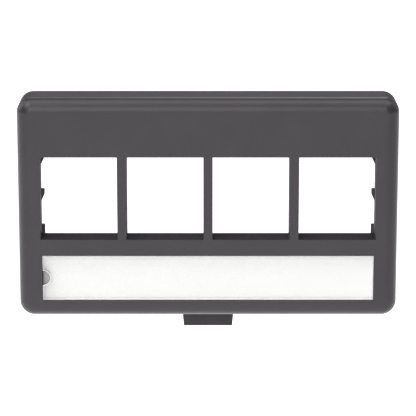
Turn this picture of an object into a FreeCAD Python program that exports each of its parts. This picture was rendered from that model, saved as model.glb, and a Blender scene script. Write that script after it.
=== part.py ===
import FreeCAD, Part
import os
import re
import Sketcher

# Keystone faceplate for a modular furniture cut-out: one moulded plate with a row of ports,
# and a label window that holds a printed card under a clear cover.
#
# Frame, in millimetres: +Z up, the face looks along -Y, X runs along the row of ports.
# The origin is the middle of the cut-out, in the plane of the panel that the plate sits on,
# so the plate lies at negative Y and its hooks and spring arms reach to positive Y.
# A depth is measured back from the face, so the panel lies at depth plate_depth.

SIZES = [
    ("port_count", 4, "ports in the row"),
    ("port_width", 14.9, "keystone opening, width"),
    ("port_height", 16.3, "keystone opening, height"),
    ("bar_width", 1.8, "upright bar between two ports"),
    ("bar_depth", 5.8, "depth of the bars and of the ledge below the ports"),
    ("plate_depth", 9.7, "face to panel"),
    ("side_margin", 4.4, "end port to the plate's side"),
    ("top_margin", 11.35, "ports to the plate's top"),
    ("label_gap", 3.25, "ports to the label window"),
    ("label_height", 8.9, "label window, height"),
    ("label_inset", 0.25, "label window, shorter than the row of ports at each end"),
    ("bottom_margin", 3.45, "label window to the plate's bottom"),
    ("corner_radius", 2.9, "corners of the plate seen from the front"),
    ("edge_radius", 2.6, "rounding of the face's edges"),
    ("front_wall", 2.2, "wall of the face"),
    ("side_wall", 2.0, "walls round the plate"),
    ("inner_corner_radius", 1.1, "upright corners inside the plate"),
    ("inner_edge_radius", 0.6, "edge inside the plate, behind the face"),
    ("ledge_thickness", 2.0, "ledge below the ports, which the jack's fixed lug hooks behind"),
    ("latch_room", 3.3, "room above a port for the jack's spring latch"),
    ("latch_depth", 6.6, "depth of the edge that the jack's latch snaps behind"),
    ("latch_lift", 1.4, "height of that edge above the port"),
    ("latch_land", 0.6, "flat under the latch edge"),
    ("latch_ramp", 1.2, "rise of the lead-in behind the latch edge"),
    ("bay_depth", 8.6, "depth of the roof and the cheeks round the ports"),
    ("roof_wall", 1.5, "roof over the latch room"),
    ("step_depth", 3.8, "depth of the flush wall at each end of the row"),
    ("step_width", 0.3, "set-back of the cheek behind that wall"),
    ("cheek_wall", 1.2, "cheeks at the ends of the row"),
    ("lug_thickness", 1.2, "lugs on the cheeks, front to back"),
    ("lug_reach", 0.45, "lugs, past the port's side"),
    ("lug_slope", 1.6, "height of a lug's slanted side"),
    ("brace_height", 1.3, "straight part of the corner brace"),
    ("hook_rise", 8.8, "top of the hooked lug above the ledge"),
    ("hook_height", 1.05, "straight tip of the hooked lug"),
    ("block_height", 1.65, "top of the lowest lug above the ledge"),
    ("card_thickness", 0.25, "printed card"),
    ("card_clearance", 0.05, "card to the window's edge, all round"),
    ("cover_thickness", 1.5, "clear cover"),
    ("cover_clearance", 0.05, "cover to the window's edge, all round"),
    ("cover_recess", 0.2, "face to the cover"),
    ("cover_bevel", 0.2, "bevel of the cover's front edges"),
    ("notch_radius", 1.45, "half-round finger notch in the cover"),
    ("backing_wall", 1.2, "wall behind the card"),
    ("backing_rim", 0.7, "that wall past the window, all round"),
    ("tongue_width", 10.4, "tongue under the plate, where it leaves the plate"),
    ("tongue_tip_width", 9.6, "tongue, at its tip"),
    ("tongue_length", 4.0, "tongue, below the plate"),
    ("tongue_thickness", 1.6, "tongue, front to back"),
    ("cutout_height", 34.9, "height of the furniture cut-out"),
    ("panel_grip", 1.8, "panel to the hooks' and barbs' faces"),
    ("catch_spacing", 33.4, "one spring arm or hook to the other"),
    ("catch_width", 8.0, "width of a spring arm or hook"),
    ("catch_overlap", 0.6, "barb past the cut-out's upper edge"),
    ("catch_clearance", 0.2, "spring arm or hook to the cut-out's edge"),
    ("arm_thickness", 1.2, "spring arm"),
    ("arm_reach", 4.4, "spring arm past the panel's face"),
    ("arm_land", 0.5, "flat top of the barb"),
    ("arm_nose", 0.5, "thickness taken off the arm's tip by its lead-in"),
    ("root_brace", 0.7, "slanted brace where an arm or a hook leaves the plate"),
    ("hook_thickness", 1.6, "rigid hook"),
    ("hook_overlap", 1.6, "rigid hook past the cut-out's lower edge"),
]

# Sizes that follow from those above.
PITCH = "(port_width + bar_width)"
BAY_WIDTH = "(port_count * port_width + (port_count - 1) * bar_width)"
PLATE_WIDTH = f"({BAY_WIDTH} + 2 * side_margin)"
PLATE_HEIGHT = "(top_margin + port_height + label_gap + label_height + bottom_margin)"
LABEL_WIDTH = f"({BAY_WIDTH} - 2 * label_inset)"
CHEEK_INSIDE = f"({BAY_WIDTH} / 2 + step_width)"
CHEEK_OUTSIDE = f"({CHEEK_INSIDE} + cheek_wall)"

# Heights.
PLATE_TOP = f"({PLATE_HEIGHT} / 2)"
PLATE_BOTTOM = f"(-{PLATE_HEIGHT} / 2)"
PORT_TOP = f"({PLATE_TOP} - top_margin)"
PORT_BOTTOM = f"({PORT_TOP} - port_height)"
LEDGE_BOTTOM = f"({PORT_BOTTOM} - ledge_thickness)"
ROOF_INSIDE = f"({PORT_TOP} + latch_room)"
ROOF_OUTSIDE = f"({ROOF_INSIDE} + roof_wall)"
LABEL_TOP = f"({PORT_BOTTOM} - label_gap)"
LABEL_BOTTOM = f"({LABEL_TOP} - label_height)"
LABEL_MIDDLE = f"({LABEL_TOP} - label_height / 2)"

# Depths back from the face. What stands behind the face starts half-way into its wall.
ROOT_DEPTH = "(front_wall / 2)"
COVER_BACK = "(cover_recess + cover_thickness)"
LABEL_FLOOR = f"({COVER_BACK} + card_thickness)"
BACKING_BACK = f"({LABEL_FLOOR} + backing_wall)"

CELL_NAME = re.compile(r"[a-z]\w+")
TOLERANCE = 0.001

doc = FreeCAD.newDocument("keystone_faceplate")
sheet = doc.addObject("Spreadsheet::Sheet", "Sizes")
for row, (alias, value, meaning) in enumerate(SIZES, start=1):
    sheet.set(f"A{row}", meaning)
    sheet.set(f"B{row}", str(value))
    sheet.setAlias(f"B{row}", alias)
doc.recompute()


# -- Small helpers ---------------------------------------------------------------------------

def in_cells(formula):
    """The formula with each size's name pointing at its cell in the sheet."""
    return CELL_NAME.sub(lambda name: "Sizes." + name.group(), formula)


def bind(feature, name, formula):
    """Ties one property of a feature to a formula of sizes."""
    feature.setExpression(name, in_cells(formula))


def number(formula):
    """What a formula of sizes comes to now, in millimetres."""
    return float(sheet.evalExpression(in_cells(formula)))


def along_y(depth):
    """The Y of a depth, as a formula."""
    return f"({depth} - plate_depth)"


def make_body(label):
    body = doc.addObject("PartDesign::Body", label)
    body.Label = label
    return body


def origin_feature(body, role):
    return next(item for item in body.Origin.OriginFeatures if item.Role == role)


def make_sketch(body, name, role, offset):
    """A sketch on one of the body's own planes, moved along that plane's normal."""
    sketch = body.newObject("Sketcher::SketchObject", name)
    sketch.AttachmentSupport = [(origin_feature(body, role), "")]
    sketch.MapMode = "FlatFace"
    bind(sketch, "AttachmentOffset.Base.z", offset)
    return sketch


def face_sketch(body, name, depth):
    """A sketch parallel to the face, at a depth. Its pads grow towards the face."""
    return make_sketch(body, name, "XZ_Plane", f"plate_depth - {depth}")


def side_sketch(body, name, offset="0"):
    """A sketch square to the row of ports, in Y and Z."""
    return make_sketch(body, name, "YZ_Plane", offset)


def add_polygon(sketch, corners):
    """A closed outline whose corners are pairs of formulas."""
    first = sketch.GeometryCount
    places = [FreeCAD.Vector(number(across), number(up), 0) for across, up in corners]
    for start, end in zip(places, places[1:] + places[:1]):
        sketch.addGeometry(Part.LineSegment(start, end), False)
    for index, (across, up) in enumerate(corners):
        line = first + index
        following = first + (index + 1) % len(corners)
        sketch.addConstraint(Sketcher.Constraint("Coincident", line, 2, following, 1))
        for kind, value, formula in (("DistanceX", places[index].x, across),
                                     ("DistanceY", places[index].y, up)):
            which = sketch.addConstraint(Sketcher.Constraint(kind, -1, 1, line, 1, value))
            bind(sketch, f"Constraints[{which}]", formula)


def add_rectangle(sketch, left, right, bottom, top):
    add_polygon(sketch, [(left, bottom), (right, bottom), (right, top), (left, top)])


def add_circle(sketch, across, up, radius):
    """A full circle whose centre and radius are formulas."""
    centre = FreeCAD.Vector(number(across), number(up), 0)
    circle = sketch.addGeometry(Part.Circle(centre, FreeCAD.Vector(0, 0, 1), number(radius)), False)
    for constraint, formula in (
            (Sketcher.Constraint("DistanceX", -1, 1, circle, 3, centre.x), across),
            (Sketcher.Constraint("DistanceY", -1, 1, circle, 3, centre.y), up),
            (Sketcher.Constraint("Radius", circle, number(radius)), radius)):
        which = sketch.addConstraint(constraint)
        bind(sketch, f"Constraints[{which}]", formula)


def pad(body, sketch, name, length, both_ways=False):
    """Adds material on a sketch, and makes sure that some was added."""
    before = body.Shape.Volume if body.Tip else 0.0
    feature = body.newObject("PartDesign::Pad", name)
    feature.Profile = sketch
    bind(feature, "Length", length)
    if both_ways:
        feature.SideType = "Symmetric"
    doc.recompute()
    if feature.Shape.Volume <= before:
        raise ValueError(f"{name} adds nothing")
    return feature


def pocket(body, sketch, name, length, towards_face=False):
    """Cuts a sketch out, away from the face or towards it, and makes sure that it cut."""
    before = body.Shape.Volume
    feature = body.newObject("PartDesign::Pocket", name)
    feature.Profile = sketch
    feature.Reversed = towards_face
    bind(feature, "Length", length)
    doc.recompute()
    if feature.Shape.Volume >= before:
        raise ValueError(f"{name} cuts nothing")
    return feature


def repeat(body, original, name, count, pitch):
    """Copies a feature along the row of ports."""
    pattern = body.newObject("PartDesign::LinearPattern", name)
    pattern.Originals = [original]
    pattern.Direction = (origin_feature(body, "X_Axis"), [""])
    bind(pattern, "Occurrences", count)
    bind(pattern, "Length", f"({count} - 1) * {pitch}")
    body.Tip = pattern
    doc.recompute()


def mirror(body, original, name):
    """Copies a feature to the other half of the plate."""
    copy = body.newObject("PartDesign::Mirrored", name)
    copy.Originals = [original]
    copy.MirrorPlane = (origin_feature(body, "YZ_Plane"), [""])
    body.Tip = copy
    doc.recompute()


def dress(body, kind, name, wanted, size_name, formula):
    """Rounds or bevels the edges of the body's last feature for which wanted(edge) is true."""
    base = body.Tip
    edges = [f"Edge{index}" for index, edge in enumerate(base.Shape.Edges, start=1) if wanted(edge)]
    feature = body.newObject(f"PartDesign::{kind}", name)
    feature.Base = (base, edges)
    bind(feature, size_name, formula)
    doc.recompute()


def lies_at(edge, depth):
    """Whether an edge lies all in the plane at a depth."""
    y = number(along_y(depth))
    return max(abs(edge.BoundBox.YMin - y), abs(edge.BoundBox.YMax - y)) < TOLERANCE


def runs_back(edge):
    """Whether an edge runs straight from front to back."""
    box = edge.BoundBox
    return box.YLength > TOLERANCE and box.XLength + box.ZLength < TOLERANCE


# -- The moulded plate -----------------------------------------------------------------------

def add_shell(body):
    """The outer form, rounded at its corners and face, and hollow behind the face."""
    outline = face_sketch(body, "PlateOutline", "plate_depth")
    add_rectangle(outline, f"-{PLATE_WIDTH} / 2", f"{PLATE_WIDTH} / 2", PLATE_BOTTOM, PLATE_TOP)
    pad(body, outline, "PlateBlock", "plate_depth")
    dress(body, "Fillet", "PlateCorners", runs_back, "Radius", "corner_radius")
    dress(body, "Fillet", "FaceRounding", lambda edge: lies_at(edge, "0"), "Radius", "edge_radius")

    hollow = face_sketch(body, "HollowOutline", "plate_depth")
    half_width = f"({PLATE_WIDTH} / 2 - side_wall)"
    add_rectangle(hollow, f"-{half_width}", half_width,
                  f"{PLATE_BOTTOM} + side_wall", f"{PLATE_TOP} - side_wall")
    pocket(body, hollow, "Hollow", "plate_depth - front_wall", towards_face=True)
    reach = number(half_width)
    dress(body, "Fillet", "HollowCorners",
          lambda edge: runs_back(edge) and abs(abs(edge.BoundBox.XMax) - reach) < TOLERANCE,
          "Radius", "inner_corner_radius")
    dress(body, "Fillet", "HollowRounding", lambda edge: lies_at(edge, "front_wall"),
          "Radius", "inner_edge_radius")


def add_port_bay(body):
    """Roof with its latch edge, ledge, end walls and bars round the keystone openings."""
    roof = side_sketch(body, "RoofSection")
    add_polygon(roof, [
        (along_y(ROOT_DEPTH), ROOF_OUTSIDE),
        (along_y(ROOT_DEPTH), ROOF_INSIDE),
        (along_y("latch_depth"), ROOF_INSIDE),
        (along_y("latch_depth"), f"{PORT_TOP} + latch_lift"),
        (along_y("(latch_depth + latch_land)"), f"{PORT_TOP} + latch_lift"),
        (along_y("bay_depth"), f"{PORT_TOP} + latch_lift + latch_ramp"),
        (along_y("bay_depth"), ROOF_OUTSIDE),
    ])
    pad(body, roof, "Roof", f"2 * {CHEEK_OUTSIDE}", both_ways=True)

    ledge = side_sketch(body, "LedgeSection")
    add_rectangle(ledge, along_y(ROOT_DEPTH), along_y("bar_depth"), LEDGE_BOTTOM, PORT_BOTTOM)
    pad(body, ledge, "Ledge", f"2 * {CHEEK_OUTSIDE}", both_ways=True)

    cheeks = face_sketch(body, "CheekOutlines", "bay_depth")
    steps = face_sketch(body, "StepOutlines", "step_depth")
    for sign in ("", "-"):
        add_rectangle(cheeks, f"{sign}{CHEEK_INSIDE}", f"{sign}{CHEEK_OUTSIDE}",
                      LEDGE_BOTTOM, ROOF_OUTSIDE)
        add_rectangle(steps, f"{sign}{BAY_WIDTH} / 2", f"{sign}{CHEEK_OUTSIDE}",
                      LEDGE_BOTTOM, ROOF_OUTSIDE)
    pad(body, cheeks, "Cheeks", f"bay_depth - {ROOT_DEPTH}")
    pad(body, steps, "EndSteps", f"step_depth - {ROOT_DEPTH}")

    bar = face_sketch(body, "BarOutline", "bar_depth")
    bar_left = f"(port_width - {BAY_WIDTH} / 2)"
    add_rectangle(bar, bar_left, f"{bar_left} + bar_width", LEDGE_BOTTOM, ROOF_OUTSIDE)
    first_bar = pad(body, bar, "Bar", f"bar_depth - {ROOT_DEPTH}")
    repeat(body, first_bar, "Bars", "(port_count - 1)", PITCH)


def add_lugs(body):
    """Corner brace, hooked lug and low lug on the inner side of each cheek."""
    inside = CHEEK_INSIDE
    rooted = f"({CHEEK_INSIDE} + cheek_wall / 2)"
    tip = f"({BAY_WIDTH} / 2 - lug_reach)"
    hook_top = f"({PORT_BOTTOM} + hook_rise)"
    lugs = face_sketch(body, "LugOutlines", "(bar_depth + lug_thickness)")
    for sign in ("", "-"):
        add_polygon(lugs, [
            (f"{sign}{rooted}", ROOF_OUTSIDE),
            (f"{sign}{tip}", ROOF_OUTSIDE),
            (f"{sign}{tip}", f"{PORT_TOP} - brace_height"),
            (f"{sign}{inside}", f"{PORT_TOP} - brace_height - lug_slope"),
            (f"{sign}{inside}", hook_top),
            (f"{sign}{tip}", hook_top),
            (f"{sign}{tip}", f"{hook_top} - hook_height"),
            (f"{sign}{inside}", f"{hook_top} - hook_height - lug_slope"),
            (f"{sign}{inside}", f"{PORT_BOTTOM} + block_height"),
            (f"{sign}{tip}", f"{PORT_BOTTOM} + block_height"),
            (f"{sign}{tip}", LEDGE_BOTTOM),
            (f"{sign}{rooted}", LEDGE_BOTTOM),
        ])
    pad(body, lugs, "Lugs", "lug_thickness")


def cut_ports(body):
    """The row of keystone openings through the face."""
    port = face_sketch(body, "PortOutline", "0")
    port_left = f"(-{BAY_WIDTH} / 2)"
    add_rectangle(port, port_left, f"{port_left} + port_width", PORT_BOTTOM, PORT_TOP)
    first_port = pocket(body, port, "Port", "front_wall")
    repeat(body, first_port, "Ports", "port_count", PITCH)


def add_label_seat(body):
    """The recess for the card and the cover, with a wall behind it."""
    backing = face_sketch(body, "BackingOutline", BACKING_BACK)
    half_width = f"({LABEL_WIDTH} / 2)"
    add_rectangle(backing, f"-{half_width} - backing_rim", f"{half_width} + backing_rim",
                  f"{LABEL_BOTTOM} - backing_rim", f"{LABEL_TOP} + backing_rim")
    pad(body, backing, "LabelBacking", f"{BACKING_BACK} - {ROOT_DEPTH}")
    window = face_sketch(body, "WindowOutline", "0")
    add_rectangle(window, f"-{half_width}", half_width, LABEL_BOTTOM, LABEL_TOP)
    pocket(body, window, "LabelWindow", LABEL_FLOOR)


def add_tongue(body):
    """The tapered tongue that shows under the plate, level with the panel."""
    tongue = face_sketch(body, "TongueOutline", "plate_depth")
    root = f"({PLATE_BOTTOM} + side_wall / 2)"
    add_polygon(tongue, [
        ("-tongue_width / 2", root),
        ("-tongue_width / 2", PLATE_BOTTOM),
        ("-tongue_tip_width / 2", f"{PLATE_BOTTOM} - tongue_length"),
        ("tongue_tip_width / 2", f"{PLATE_BOTTOM} - tongue_length"),
        ("tongue_width / 2", PLATE_BOTTOM),
        ("tongue_width / 2", root),
    ])
    pad(body, tongue, "Tongue", "tongue_thickness")


def add_catches(body):
    """Spring arms above and rigid hooks below, which hold the plate in the cut-out."""
    root = along_y(ROOT_DEPTH)
    arm_top = "(cutout_height / 2 - catch_clearance)"
    arm_bottom = f"({arm_top} - arm_thickness)"
    barb_top = "(cutout_height / 2 + catch_overlap)"
    arm = side_sketch(body, "ArmSection", "catch_spacing / 2")
    add_polygon(arm, [
        (root, arm_bottom),
        ("arm_reach", arm_bottom),
        ("arm_reach", f"{arm_top} - arm_nose"),
        ("panel_grip + arm_land", barb_top),
        ("panel_grip", barb_top),
        ("panel_grip", arm_top),
        (f"{along_y('front_wall')} + root_brace", arm_top),
        (along_y("front_wall"), f"{arm_top} + root_brace"),
        (root, f"{arm_top} + root_brace"),
    ])
    mirror(body, pad(body, arm, "SpringArm", "catch_width", both_ways=True), "SpringArms")

    hook_bottom = "(catch_clearance - cutout_height / 2)"
    hook_top = f"({hook_bottom} + hook_thickness)"
    hook_root = along_y(f"({LABEL_FLOOR} + backing_wall / 2)")
    hook = side_sketch(body, "HookSection", "catch_spacing / 2")
    add_polygon(hook, [
        (hook_root, hook_bottom),
        ("panel_grip", hook_bottom),
        ("panel_grip", "-cutout_height / 2 - hook_overlap"),
        ("panel_grip + hook_thickness", "-cutout_height / 2 - hook_overlap"),
        ("panel_grip + hook_thickness", hook_top),
        (f"{along_y(BACKING_BACK)} + root_brace", hook_top),
        (along_y(BACKING_BACK), f"{hook_top} + root_brace"),
        (hook_root, f"{hook_top} + root_brace"),
    ])
    mirror(body, pad(body, hook, "RigidHook", "catch_width", both_ways=True), "RigidHooks")


def make_faceplate():
    body = make_body("faceplate")
    add_shell(body)
    add_port_bay(body)
    add_lugs(body)
    cut_ports(body)
    add_label_seat(body)
    add_tongue(body)
    add_catches(body)
    return body


# -- The pieces in the label window ----------------------------------------------------------

def window_rectangle(sketch, clearance):
    """The label window's outline, smaller by a clearance all round."""
    half_width = f"({LABEL_WIDTH} / 2 - {clearance})"
    add_rectangle(sketch, f"-{half_width}", half_width,
                  f"{LABEL_BOTTOM} + {clearance}", f"{LABEL_TOP} - {clearance}")


def make_card():
    body = make_body("label_card")
    outline = face_sketch(body, "CardOutline", LABEL_FLOOR)
    window_rectangle(outline, "card_clearance")
    pad(body, outline, "Card", "card_thickness")
    return body


def make_cover():
    body = make_body("label_cover")
    outline = face_sketch(body, "CoverOutline", COVER_BACK)
    window_rectangle(outline, "cover_clearance")
    pad(body, outline, "Cover", "cover_thickness")
    notch = face_sketch(body, "NotchOutline", "cover_recess")
    add_circle(notch, f"cover_clearance - {LABEL_WIDTH} / 2", LABEL_MIDDLE, "notch_radius")
    pocket(body, notch, "FingerNotch", "cover_thickness")
    dress(body, "Chamfer", "CoverBevel", lambda edge: lies_at(edge, "cover_recess"),
          "Size", "cover_bevel")
    return body


# -- Build and write -------------------------------------------------------------------------

bodies = [make_faceplate(), make_card(), make_cover()]
doc.recompute()

for item in doc.Objects:
    if "Invalid" in item.State or "Error" in item.State:
        raise ValueError(f"{item.Name} is {item.State}")

os.makedirs("parts", exist_ok=True)
for body in bodies:
    if body.Shape.isNull() or not body.Shape.isValid() or len(body.Shape.Solids) != 1:
        raise ValueError(f"{body.Label} is not one sound solid")
    body.Shape.exportStep(f"parts/{body.Label}.step")
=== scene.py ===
import logging
import math
from dataclasses import asdict, dataclass, field
from enum import Enum, IntEnum
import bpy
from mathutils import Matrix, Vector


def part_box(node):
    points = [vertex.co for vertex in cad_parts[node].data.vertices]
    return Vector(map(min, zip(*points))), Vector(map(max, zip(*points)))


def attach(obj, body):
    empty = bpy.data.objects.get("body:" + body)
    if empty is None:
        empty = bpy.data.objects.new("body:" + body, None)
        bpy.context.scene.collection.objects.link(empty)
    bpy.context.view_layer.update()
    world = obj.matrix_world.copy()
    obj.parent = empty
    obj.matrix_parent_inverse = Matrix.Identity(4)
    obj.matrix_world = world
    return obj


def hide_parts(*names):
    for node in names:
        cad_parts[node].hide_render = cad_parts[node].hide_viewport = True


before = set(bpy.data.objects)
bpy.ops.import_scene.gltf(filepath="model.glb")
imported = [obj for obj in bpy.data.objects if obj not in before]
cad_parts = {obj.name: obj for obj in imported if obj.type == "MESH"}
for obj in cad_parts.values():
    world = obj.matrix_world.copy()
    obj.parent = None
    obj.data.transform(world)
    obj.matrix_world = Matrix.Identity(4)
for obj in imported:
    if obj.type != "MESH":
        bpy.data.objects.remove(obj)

from types import SimpleNamespace
from typing import Optional, Sequence, Union

import bmesh
import bpy
from mathutils import Vector

# Looks of a keystone faceplate: one moulded plate with a row of ports, and a label window that
# holds a plain card under a clear cover. Shapes are in metres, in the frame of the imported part:
# +Z up, the face looks along -Y, X runs along the row of ports, and the panel is the plane Y = 0.
# The part's sizes are written in millimetres and turned into metres once, and the studio's are in
# metres. A depth is measured back from the face.

LOG = logging.getLogger("keystone_faceplate")
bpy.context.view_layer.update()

MM = 0.001
ROOT_BODY = "root"
QUARTER_TURN = math.pi / 2
MERGE_DISTANCE = 1e-7
SAME_LEVEL = MM / 1000
FLAT_ANGLE = math.radians(0.4)


class Run(Enum):
    """The axis that a prism runs along."""

    X = "x"
    Y = "y"


class Miter(Enum):
    """How rounded edges meet at a corner."""

    SHARP = "MITER_SHARP"
    ARC = "MITER_ARC"


# -- Node trees ------------------------------------------------------------------------------

class Number:
    """A number that a node tree works out. Plain arithmetic on it adds Math nodes."""

    def __init__(self, sheet: "NodeSheet", socket: bpy.types.NodeSocket, value: float) -> None:
        """Args:
            sheet: the tree that the number lives in.
            socket: the output that gives it.
            value: what it comes to now.
        """
        self.sheet = sheet
        self.socket = socket
        self.value = value

    def __add__(self, other: "Feed") -> "Number":
        """The sum."""
        return self.sheet.math("ADD", self, other)

    def __sub__(self, other: "Feed") -> "Number":
        """The difference."""
        return self.sheet.math("SUBTRACT", self, other)

    def __mul__(self, other: "Feed") -> "Number":
        """The product."""
        return self.sheet.math("MULTIPLY", self, other)

    def __truediv__(self, other: "Feed") -> "Number":
        """The quotient."""
        return self.sheet.math("DIVIDE", self, other)

    def __neg__(self) -> "Number":
        """The number with its sign turned."""
        return self.sheet.math("MULTIPLY", self, -1.0)


Feed = Union[Number, float]

ARITHMETIC = {
    "ADD": lambda a, b: a + b,
    "SUBTRACT": lambda a, b: a - b,
    "MULTIPLY": lambda a, b: a * b,
    "DIVIDE": lambda a, b: a / b,
    "FLOOR": lambda a, b: math.floor(a),
    "SINE": lambda a, b: math.sin(a),
    "COSINE": lambda a, b: math.cos(a),
    "SIGN": lambda a, b: math.copysign(1.0, a),
    "MAXIMUM": max,
    "ABSOLUTE": lambda a, b: abs(a),
}


def plain(feed: Feed) -> float:
    """What a feed comes to now."""
    return feed.value if isinstance(feed, Number) else float(feed)


class NodeSheet:
    """A node tree that is filled one node at a time."""

    def __init__(self, tree: bpy.types.NodeTree) -> None:
        """Args:
            tree: the tree to fill.
        """
        self.tree = tree

    def feed(self, socket: bpy.types.NodeSocket, value: object) -> None:
        """Links or sets one input.

        Args:
            socket: the input.
            value: a number, a socket, a plain value, or a list of sockets for a joined input.
        """
        if isinstance(value, list):
            for each in value:
                self.feed(socket, each)
        elif isinstance(value, Number):
            self.tree.links.new(value.socket, socket)
        elif isinstance(value, bpy.types.NodeSocket):
            self.tree.links.new(value, socket)
        else:
            socket.default_value = value

    def add(self, kind: str, feeds: Optional[dict] = None, **settings: object) -> bpy.types.Node:
        """Adds a node.

        Args:
            kind: the node's type.
            feeds: values for its inputs, by name or place.
            settings: its own properties.

        Returns:
            The node.
        """
        node = self.tree.nodes.new(kind)
        for name, value in settings.items():
            setattr(node, name, value)
        for key, value in (feeds or {}).items():
            self.feed(node.inputs[key], value)
        return node

    def math(self, operation: str, first: Feed, second: Feed = 0.0) -> Number:
        """Adds a Math node.

        Args:
            operation: what it does.
            first: its first number.
            second: its second number.

        Returns:
            The result.
        """
        node = self.add("ShaderNodeMath", {0: first, 1: second}, operation=operation)
        value = ARITHMETIC[operation](plain(first), plain(second))
        return Number(self, node.outputs[0], value)

    def point(self, x: Feed = 0.0, y: Feed = 0.0, z: Feed = 0.0) -> bpy.types.NodeSocket:
        """A point at three coordinates."""
        return self.add("ShaderNodeCombineXYZ", {0: x, 1: y, 2: z}).outputs[0]

    def axes(self, point: bpy.types.NodeSocket) -> tuple[Number, Number, Number]:
        """The X, Y and Z of a point."""
        parts = self.add("ShaderNodeSeparateXYZ", {0: point})
        return tuple(Number(self, socket, 0.0) for socket in parts.outputs)


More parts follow.
